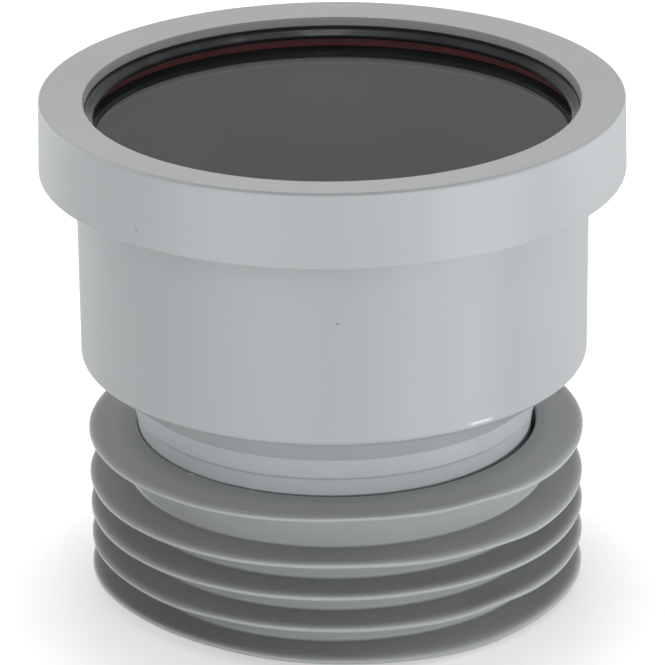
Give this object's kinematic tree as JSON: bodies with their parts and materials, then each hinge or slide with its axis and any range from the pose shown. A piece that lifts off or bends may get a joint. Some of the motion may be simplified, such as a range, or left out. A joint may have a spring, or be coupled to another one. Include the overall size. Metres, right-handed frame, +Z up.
{
  "type": "ring seal drain connector",
  "caption": "Drain connector with a push-fit ring seal socket above and a finned rubber sleeve on its spigot below, open right through.",
  "frame": {"origin": "centre of the foot of the rubber sleeve, on the face that the part stands on", "axes": "+Z up the axis of the connector, out of the socket's mouth; X and Y are equal, because the part is round"},
  "size_m": [0.1332, 0.1332, 0.1172],
  "materials": {
    "socket_plastic": "light grey moulded polypropylene, satin",
    "cap_plastic": "light grey moulded polypropylene, satin",
    "ring_seal_rubber": "black rubber, slightly glossy",
    "support_ring_plastic": "dark red plastic",
    "finned_seal_rubber": "mid grey rubber, matte"
  },
  "bodies": {
    "root": {"socket_body": "socket_plastic", "seal_retaining_cap": "cap_plastic", "socket_ring_seal": "ring_seal_rubber", "seal_support_ring": "support_ring_plastic", "finned_spigot_seal": "finned_seal_rubber"}
  },
  "joints": []
}
